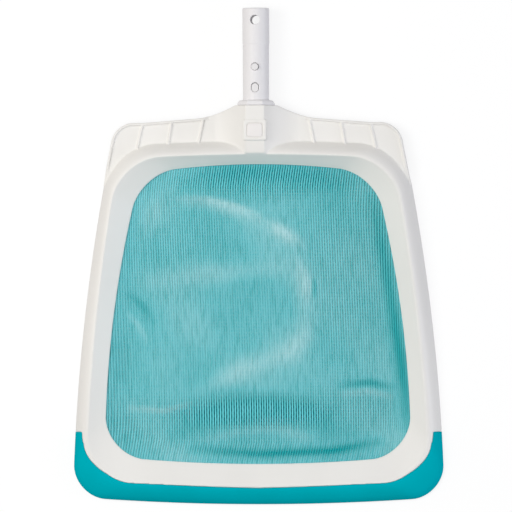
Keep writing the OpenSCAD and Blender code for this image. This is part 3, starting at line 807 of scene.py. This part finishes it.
def edge_share(x, y):
    """0 at the net's held edge, rising to 1 well inside."""
    mid = (NET.y_top + NET.y_low) / 2
    half_w = plain_half(NET, y) + NET.bow_side
    half_l = (NET.y_top - NET.y_low) / 2 + NET.bow_low
    u, v = abs(x) / half_w, abs(y - mid) / half_l
    return clamped((1 - (u**EDGE_POWER + v**EDGE_POWER) ** (1 / EDGE_POWER)) * EDGE_RAMP)


def waves(x, y):
    """Shallow unevenness of the knit, from about -1 to 1."""
    return (0.5 * math.sin(x / 19 + 0.8 * math.sin(y / 31)) + 0.35 * math.sin(y / 23 + x / 41)
            + 0.25 * math.sin((x + y) / 13))


def net_state(x, y):
    """Height of the net at a point, and the light and shade painted on its colour there."""
    edge = edge_share(x, y)
    lift = tone = 0.0
    for fold in FOLDS:
        weight = fold_weight(fold, x, y)
        lift += fold.lift * weight
        tone += fold.tone * weight
    soft = edge * edge * (3 - 2 * edge)
    height = NET_Z - SAG * soft + soft * (lift + WAVE_LIFT * waves(x, y))
    return max(NET_LOW_Z, height), tone + WAVE_PAINTED_LIGHT * waves(x, y)


def offset_ring(reach):
    """The hoop's inner edge moved outwards, under the flange."""
    return [towards(c, b, reach) for b, c in zip(crest_line, net_line)]


def crossings(line, at, axis):
    """Where the closed line crosses the coordinate at on the axis, lowest and highest."""
    hits = []
    for p, q in zip(line, line[1:] + line[:1]):
        if (p[axis] - at) * (q[axis] - at) <= 0 and p[axis] != q[axis]:
            hits.append(mix(p, q, (at - p[axis]) / (q[axis] - p[axis]))[1 - axis])
    return (min(hits), max(hits)) if len(hits) > 1 else None


class Strands:
    """Collects thin strands into one mesh, with the light and shade painted by the folds and on the ribs at
    each point.
    """

    def __init__(self):
        self.points, self.faces, self.tones, self.rib_shadings = [], [], [], []

    def add(self, path, tones, half_w, half_h, sides, along_y):
        first = len(self.points)
        for (x, y, z), tone in zip(path, tones):
            wide = half_w * (1 - TONE_THINS * tone)
            self.rib_shadings += [rib_shading(x, y)] * sides
            for k in range(sides):
                a = math.tau * k / sides
                side, up = wide * math.cos(a), half_h * math.sin(a)
                self.points.append((x + side, y, z + up) if along_y else (x, y + side, z + up))
                self.tones.append(tone)
        for i in range(len(path) - 1):
            for k in range(sides):
                a, b = first + i * sides + k, first + i * sides + (k + 1) % sides
                self.faces.append((a, b, b + sides, a + sides))
        self.faces.append(tuple(first + k for k in range(sides - 1, -1, -1)))
        end = first + (len(path) - 1) * sides
        self.faces.append(tuple(end + k for k in range(sides)))

    def object(self, name):
        obj = made_mesh(name, self.points, self.faces)
        # point attributes: the light and shade painted by the folds, and how strongly the ribs' painted
        # light and shade show
        for key, values in (("tone", self.tones), ("ribs", self.rib_shadings)):
            obj.data.attributes.new(key, "FLOAT", "POINT").data.foreach_set("value", values)
        return outward(obj)


def drift(y):
    """Sideways drift of the wales down the net."""
    return -DRIFT * math.sin((y - DRIFT_Y) / DRIFT_LEN)


def net_wales(held):
    """The ribs of the knit, along Y."""
    strands = Strands()
    count = int((NET.half_low + NET.bow_side + NET_HELD) / WALE_PITCH) + 1
    for k in range(-count, count + 1):
        x = k * WALE_PITCH
        span = crossings(held, x, 0)
        if span is None or span[1] - span[0] < SHORTEST_WALE:
            continue
        steps = max(2, round((span[1] - span[0]) / WALE_STEP))
        path, tones = [], []
        for i in range(steps + 1):
            y = span[0] + (span[1] - span[0]) * i / steps
            here = x + drift(y) * edge_share(x, y) + STITCH * (-1) ** (i + k)
            z, tone = net_state(here, y)
            path.append((here, y, z))
            tones.append(tone)
        strands.add(path, tones, WALE_HALF_W, WALE_HALF_H, WALE_SIDES, True)
    return strands.object("net_wales")


def net_courses(held):
    """The thin threads that tie the ribs together, along X."""
    strands = Strands()
    low, high = NET.y_low - NET.bow_low - NET_HELD, NET.y_top + NET.bow_top + NET_HELD
    for j in range(int((high - low) / COURSE_PITCH) + 1):
        y = low + j * COURSE_PITCH
        span = crossings(held, y, 1)
        if span is None or span[1] - span[0] < SHORTEST_COURSE:
            continue
        first, last = math.ceil(span[0] / WALE_PITCH), math.floor(span[1] / WALE_PITCH)
        path, tones = [], []
        for k in range(first, last + 1):
            x = k * WALE_PITCH
            here = x + drift(y) * edge_share(x, y)
            z, tone = net_state(here, y)
            path.append((here, y + COURSE_ZIGZAG * (-1) ** k, z - COURSE_SINK))
            tones.append(tone)
        strands.add(path, tones, COURSE_HALF_W, COURSE_HALF_W * COURSE_FLAT, COURSE_SIDES, False)
    return strands.object("net_courses")


def ring_body():
    """Retaining ring that clamps the net's edge under the flange."""
    sections = []
    for near, far in zip(offset_ring(RING_GAP), offset_ring(FLANGE - SEAT_GAP)):
        width = math.dist(near, far)
        corners = [(0, 0, RING_FOOT_R), (0, RING_H, RING_TOP_R),
                   (width, RING_H, RING_TOP_R), (width, 0, RING_FOOT_R)]
        sections.append([(*mix(near, far, u / width), z) for u, z in rounded(corners)])
    return loft("retaining_ring", sections, True)


# ---------------------------------------------------------------- materials


class Nodes:
    """Small helper round a material's node tree."""

    def __init__(self, name):
        self.material = bpy.data.materials.new(name)
        self.material.use_nodes = True
        self.tree = self.material.node_tree
        self.shader = self.tree.nodes["Principled BSDF"]
        self.place = self.new("ShaderNodeTexCoord").outputs["Object"]

    def new(self, kind, **settings):
        node = self.tree.nodes.new(kind)
        for key, value in settings.items():
            setattr(node, key, value)
        return node

    def link(self, out, into):
        self.tree.links.new(out, into)

    def noise(self, scale, detail=3.0, stretch=(1, 1, 1)):
        place = self.new("ShaderNodeMapping")
        place.inputs["Scale"].default_value = stretch
        noise = self.new("ShaderNodeTexNoise")
        noise.inputs["Scale"].default_value = scale
        noise.inputs["Detail"].default_value = detail
        self.link(self.place, place.inputs["Vector"])
        self.link(place.outputs["Vector"], noise.inputs["Vector"])
        return noise.outputs["Fac"]

    def spread(self, value, low, high, from_low=0.0, from_high=1.0):
        node = self.new("ShaderNodeMapRange")
        node.inputs["From Min"].default_value = from_low
        node.inputs["From Max"].default_value = from_high
        node.inputs["To Min"].default_value = low
        node.inputs["To Max"].default_value = high
        self.link(value, node.inputs["Value"])
        return node.outputs["Result"]

    def blend(self, share, low, high):
        node = self.new("ShaderNodeMix", data_type="RGBA")
        self.link(share, node.inputs["Factor"])
        for socket, colour in ((node.inputs[6], low), (node.inputs[7], high)):
            if isinstance(colour, tuple):
                socket.default_value = (*colour, 1)
            else:
                self.link(colour, socket)
        return node.outputs[2]

    def bump(self, height, distance, strength=1.0):
        node = self.new("ShaderNodeBump")
        node.inputs["Strength"].default_value = strength
        node.inputs["Distance"].default_value = distance
        self.link(height, node.inputs["Height"])
        return node

    def set(self, socket, value):
        target = self.shader.inputs[socket]
        if hasattr(value, "is_linked"):
            self.link(value, target)
        else:
            target.default_value = value


def linear(*shown):
    """Linear colour from the 0 to 255 one that it shows as."""
    return tuple((c / 255 / 12.92) if c <= 10 else ((c / 255 + 0.055) / 1.055) ** 2.4 for c in shown)


# Noise scales are per metre, and the depths of the bumps are in metres.
GRAIN_DEPTH, FLOW_DEPTH, RUBBER_DEPTH, STITCH_DEPTH = 0.000012, 0.00003, 0.00001, 0.00015
STITCH_STRENGTH = 0.6
STITCH_SCALE = 160


def plastic(name, pale, deep, roughness, grain_scale=900):
    """Satin moulded plastic with faint flow marks and a fine grain."""
    m = Nodes(name)
    flow = m.spread(m.noise(14, 4, (1, 0.35, 1)), 0, 1, 0.35, 0.65)
    m.set("Base Color", m.blend(flow, deep, pale))
    m.set("Roughness", m.spread(m.noise(60, 3), roughness - 0.05, roughness + 0.05))
    fine = m.bump(m.noise(grain_scale, 2), GRAIN_DEPTH)
    wide = m.bump(m.noise(45, 2), FLOW_DEPTH)
    m.link(wide.outputs["Normal"], fine.inputs["Normal"])
    m.set("Normal", fine.outputs["Normal"])
    m.set("Specular IOR Level", 0.35)
    return m.material


def soft_rubber(name, pale, deep):
    """Matt teal elastomer."""
    m = Nodes(name)
    cloud = m.spread(m.noise(22, 5), 0, 1, 0.3, 0.7)
    m.set("Base Color", m.blend(cloud, deep, pale))
    m.set("Roughness", m.spread(m.noise(120, 3), 0.5, 0.62))
    m.set("Normal", m.bump(m.noise(1400, 2), RUBBER_DEPTH).outputs["Normal"])
    m.set("Specular IOR Level", 0.0)
    return m.material


def knit(name, shade, middle, light, rib_shading_colour, stitch):
    """Nylon yarn with light and shade painted on its colour along the folds and ribs, with the stitches as
    a bump.
    """
    m = Nodes(name)
    # painted shade in the dips and painted highlight on the folds, then the ribs' painted light or shade,
    # then random darker dashes of yarn
    tone = m.new("ShaderNodeAttribute", attribute_name="tone").outputs["Fac"]
    painted_shade = m.blend(m.spread(tone, 0, 1, -0.9, 0.0), shade, middle)
    fold_shading = m.blend(m.spread(tone, 0, 1, 0.0, 0.9), painted_shade, light)
    ribs = m.blend(m.new("ShaderNodeAttribute", attribute_name="ribs").outputs["Fac"], fold_shading, rib_shading_colour)
    yarn = m.spread(m.noise(420, 3, (1, 0.14, 1)), 0.0, 0.5, 0.45, 0.8)
    m.set("Base Color", m.blend(yarn, ribs, shade))
    m.set("Roughness", m.spread(m.noise(300, 2), 0.5, 0.68))
    m.set("Specular IOR Level", 0.1)
    wave = m.new("ShaderNodeTexWave", wave_type="BANDS", bands_direction=stitch)
    wave.inputs["Scale"].default_value = STITCH_SCALE
    wave.inputs["Distortion"].default_value = 1.5
    m.link(m.place, wave.inputs["Vector"])
    m.set("Normal", m.bump(wave.outputs["Fac"], STITCH_DEPTH, STITCH_STRENGTH).outputs["Normal"])
    return m.material


def coated(obj, material):
    """Gives obj the material alone."""
    obj.data.materials.clear()
    obj.data.materials.append(material)


# ---------------------------------------------------------------- the object

WHITE, WHITE_DEEP = linear(243, 241, 237), linear(239, 237, 233)
white_plastic = plastic("white_plastic", WHITE, WHITE_DEEP, 0.42)
ring_plastic = plastic("ring_plastic", linear(238, 237, 234), linear(233, 232, 229), 0.5)
tube_plastic = plastic("tube_plastic", linear(240, 238, 239), linear(235, 232, 235), 0.4, 1100)
clip_plastic = plastic("clip_plastic", linear(236, 234, 234), linear(228, 226, 228), 0.35, 1100)
badge_plastic = plastic("badge_plastic", linear(244, 240, 238), linear(241, 238, 236), 0.34)
lip_rubber = soft_rubber("lip_rubber", linear(0, 184, 199), linear(0, 179, 193))
# colours: painted shade, own colour, painted highlight, then the ribs' colour, which is painted light on
# the wales and painted shade on the courses; the courses are darker throughout as painted shade between the
# ribs
wale_yarn = knit("wale_yarn", linear(24, 178, 184), linear(131, 219, 226), linear(208, 246, 249),
                 linear(120, 232, 239), "Y")
course_yarn = knit("course_yarn", linear(8, 146, 152), linear(103, 204, 212), linear(184, 240, 244),
                   linear(0, 102, 110), "X")

FRAME_VOXEL, FRAME_FACES = 0.7, 190000
TUBE_VOXEL, TUBE_FACES = 0.5, 90000
BADGE_EDGE, CLIP_EDGE = 0.5, 0.25

shell = moulded(frame_body(), FRAME_VOXEL, FRAME_FACES)
shell.name = "frame_moulding"
coated(shell, white_plastic)
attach(shell, "head")
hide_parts("frame_shell")

lip = lip_body("soft_lip")
coated(lip, lip_rubber)
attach(lip, "head")
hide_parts("scraper_lip")

tube = moulded(tube_body(), TUBE_VOXEL, TUBE_FACES)
tube.name = "tube_moulding"
coated(tube, tube_plastic)
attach(tube, "head")
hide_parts("handle_tube")

badge = prism("bare_badge", rounded_rect(BADGE_W, BADGE_LEN, BADGE_R, BOSS_Y),
              BOSS_Z - BADGE_T + SEAT_GAP, BOSS_Z + SEAT_GAP)
edge = badge.modifiers.new("edge", "BEVEL")
edge.width = BADGE_EDGE * MM
edge.segments = 3
applied(badge)
coated(badge, badge_plastic)
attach(badge, "head")
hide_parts("badge_panel")

ring = ring_body()
coated(ring, ring_plastic)
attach(ring, "head")
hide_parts("net_ring")

held = offset_ring(NET_HELD)
courses = net_courses(held)
coated(courses, course_yarn)
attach(courses, "head")
wales = net_wales(held)
coated(wales, wale_yarn)
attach(wales, "head")
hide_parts("net_mesh")

for node in ("clip_bend", "clip_front_leg", "clip_rear_leg"):
    piece = frame["nodes"][node]
    coated(piece, clip_plastic)
    soft = piece.modifiers.new("soft_edges", "BEVEL")
    soft.width = CLIP_EDGE * MM
    soft.segments = 2
    soft.limit_method = "ANGLE"

# ---------------------------------------------------------------- stage, lights and camera

FLOOR_HALF, FLOOR_Z = 6.0, -0.0002  # in metres
FLOOR_GREY = 0.5
FLOOR_SHADOW = 0.22
PAPER_WHITE, PAPER_LIT = 1.02, 0.95  # the paper's brightness as seen, and the lamps' light on it
WORLD_LEVEL = 0.365
AIM = Vector((0, -0.02, 0))
FRAME_PX = 512
PIXEL = 1.067 * MM  # what one pixel of the frame spans on the object
CLIP_END = 50  # in metres
VIEW_CENTRE = Vector((-0.0004, -0.0013, 0.02))
LENS, SENSOR = 500.0, 36.0
ROLL = math.radians(-0.15)
TURN = math.radians(5.0)  # the photograph is taken from a little to the right


def stage_floor():
    mesh = bpy.data.meshes.new("floor")
    h = FLOOR_HALF
    mesh.from_pydata([(-h, -h, 0), (h, -h, 0), (h, h, 0), (-h, h, 0)], [], [(0, 1, 2, 3)])
    floor = bpy.data.objects.new("floor", mesh)
    floor.location.z = FLOOR_Z
    bpy.context.scene.collection.objects.link(floor)
    coated(floor, floor_paint())


def seen_rays(tree):
    """1 for camera, glossy and transmission rays, 0 for light that things throw on each other."""
    path = tree.nodes.new("ShaderNodeLightPath")
    total = path.outputs["Is Camera Ray"]
    for kind in ("Is Glossy Ray", "Is Transmission Ray"):
        either = tree.nodes.new("ShaderNodeMath")
        either.operation = "MAXIMUM"
        tree.links.new(total, either.inputs[0])
        tree.links.new(path.outputs[kind], either.inputs[1])
        total = either.outputs[0]
    return total


def floor_paint():
    """Plain white to the camera, with a soft shadow; mid grey to the light that it throws back."""
    m = Nodes("floor_white")
    path = seen_rays(m.tree)
    m.set("Base Color", m.blend(path, (FLOOR_GREY,) * 3, (FLOOR_SHADOW,) * 3))
    m.set("Roughness", 0.9)
    m.set("Specular IOR Level", 0.0)
    m.set("Emission Color", (1, 1, 1, 1))
    m.set("Emission Strength", m.spread(path, 0.0, PAPER_WHITE - FLOOR_SHADOW * PAPER_LIT))
    return m.material


def lamp(name, place, size, power, colour):
    """A round lamp that looks at the object. Place and size are in metres."""
    light = bpy.data.lights.new(name, "AREA")
    light.shape = "DISK"
    light.size = size
    light.energy = power
    light.color = colour
    obj = bpy.data.objects.new(name, light)
    obj.location = place
    obj.rotation_mode = "QUATERNION"
    obj.rotation_quaternion = (AIM - Vector(place)).to_track_quat("-Z", "Y")
    obj.visible_camera = False
    bpy.context.scene.collection.objects.link(obj)


def camera():
    """A long lens, turned a little so that it looks from the right as the photograph does."""
    data = bpy.data.cameras.new("camera")
    data.lens = LENS
    data.sensor_width = SENSOR
    data.clip_end = CLIP_END
    obj = bpy.data.objects.new("camera", data)
    distance = FRAME_PX * PIXEL * LENS / SENSOR
    back = Vector((math.sin(TURN), 0, math.cos(TURN)))
    obj.location = VIEW_CENTRE + back * distance
    obj.rotation_euler = (0, TURN, ROLL)
    bpy.context.scene.collection.objects.link(obj)
    bpy.context.scene.camera = obj


def world(level):
    """White surroundings, seen as white but lighting at a lower level."""
    sky = bpy.data.worlds.new("studio")
    sky.use_nodes = True
    back = sky.node_tree.nodes["Background"]
    back.inputs["Color"].default_value = (1.0, 1.0, 1.0, 1)
    strength = sky.node_tree.nodes.new("ShaderNodeMapRange")
    strength.inputs["To Min"].default_value = level
    strength.inputs["To Max"].default_value = 1.0
    sky.node_tree.links.new(seen_rays(sky.node_tree), strength.inputs["Value"])
    sky.node_tree.links.new(strength.outputs["Result"], back.inputs["Strength"])
    bpy.context.scene.world = sky


stage_floor()
camera()
world(WORLD_LEVEL)
lamp("top", (0.0, 0.1, 2.2), 1.6, 10.1, (0.96, 0.985, 1.0))
lamp("left", (-1.7, 0.2, 1.0), 1.0, 2.9, (1.0, 0.86, 0.7))
lamp("left_high", (-1.0, 0.3, 1.6), 0.9, 11.6, (1.0, 0.985, 0.965))
lamp("right", (1.7, 0.0, 1.0), 0.8, 1.5, (0.68, 0.71, 1.0))
lamp("right_low", (1.9, -0.2, 0.5), 0.6, 7.6, (0.84, 0.88, 1.0))
bpy.context.scene.view_settings.view_transform = "Standard"
